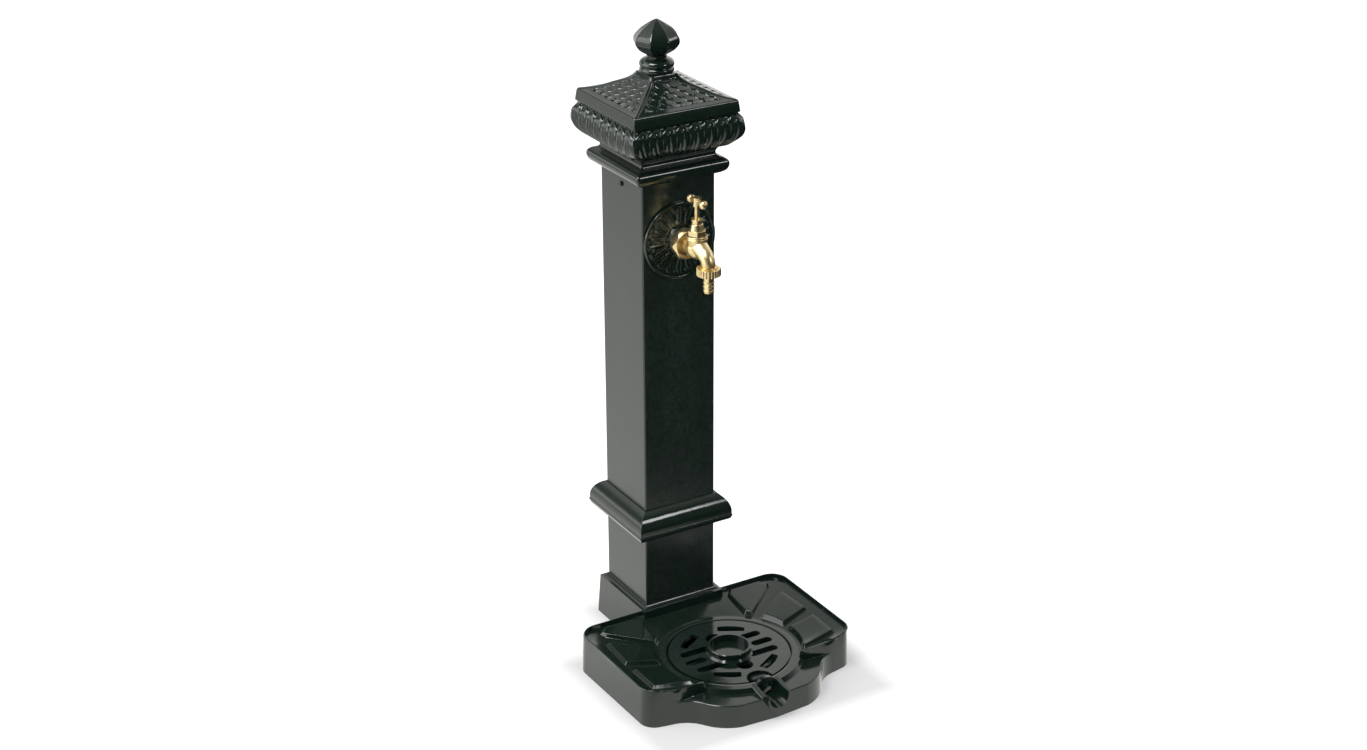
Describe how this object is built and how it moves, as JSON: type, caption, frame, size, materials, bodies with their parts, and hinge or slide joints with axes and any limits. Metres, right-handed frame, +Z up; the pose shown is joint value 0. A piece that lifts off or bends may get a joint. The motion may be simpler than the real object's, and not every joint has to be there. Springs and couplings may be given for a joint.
{
  "type": "garden water fountain",
  "caption": "Free-standing square garden water post with a tented cap and finial, a brass bib tap with hose union on a round rosette, and a drip tray with grate and gutter.",
  "frame": {"origin": "on the ground, under the middle of the whole object's bounding box", "axes": "+Z up along the post, -Y towards the tap's outlet and the tray's gutter, +X to the object's left as seen by the user in front"},
  "size_m": [0.362, 0.4358, 0.963],
  "materials": {
    "enamel": "gloss",
    "brass": "polished",
    "steel": "satin",
    "rubber": "matt"
  },
  "bodies": {
    "fountain": {"plinth": "enamel", "column_tube": "enamel", "column_band": "enamel", "capital": "enamel", "roof_cap": "enamel", "finial_collar": "enamel", "finial": "enamel", "rosette_plate": "enamel", "tray": "enamel", "capital_screws": "enamel", "band_screws": "steel", "finial_stud": "steel", "stud_nut": "steel", "stud_washer": "steel", "foot_bolts": "steel", "foot_washers": "steel", "tray_bolts": "steel", "tray_nuts": "steel", "riser_pipe": "steel", "inlet_coupling": "brass", "supply_elbow": "brass", "tap_lock_nut": "brass", "wall_washer": "steel", "pipe_grommet": "rubber", "bonnet_washer": "rubber", "gland_packing": "rubber", "tap_escutcheon": "brass", "tap_body": "brass", "tap_bonnet": "brass", "gland_nut": "brass"},
    "valve_set": {"valve_jumper": "brass", "valve_washer": "rubber", "washer_nut": "brass"},
    "handle_set": {"spindle": "brass", "tee_handle": "brass", "handle_pin": "steel"},
    "tail_set": {"hose_tail": "brass", "hose_washer": "rubber"},
    "union_nut": {"hose_union_nut": "brass"},
    "grate": {"drain_grate": "enamel"}
  },
  "joints": [
    {"name": "valve_rise", "type": "slide", "parent": "fountain", "child": "valve_set", "axis": [0, 0, 1], "range_m": [0, 0.004]},
    {"name": "handle_turn", "type": "hinge", "parent": "valve_set", "child": "handle_set", "pos_m": [0, 0.0121, 0.7255], "axis": [0, 0, 1], "range_deg": [0, 720]},
    {"name": "union_drop", "type": "slide", "parent": "fountain", "child": "tail_set", "axis": [0, 0, -1], "range_m": [0, 0.00545]},
    {"name": "union_turn", "type": "hinge", "parent": "tail_set", "child": "union_nut", "pos_m": [0, -0.0199, 0.632], "axis": [0, 0, -1], "range_deg": [0, 1080]},
    {"name": "grate_lift", "type": "slide", "parent": "fountain", "child": "grate", "axis": [0, 0, 1], "range_m": [0, 0.08]}
  ],
  "couplings": [
    {"joint": "valve_rise", "follows": "handle_turn", "m_per_rad": 0.00031831},
    {"joint": "union_drop", "follows": "union_turn", "m_per_rad": 0.00028871}
  ]
}
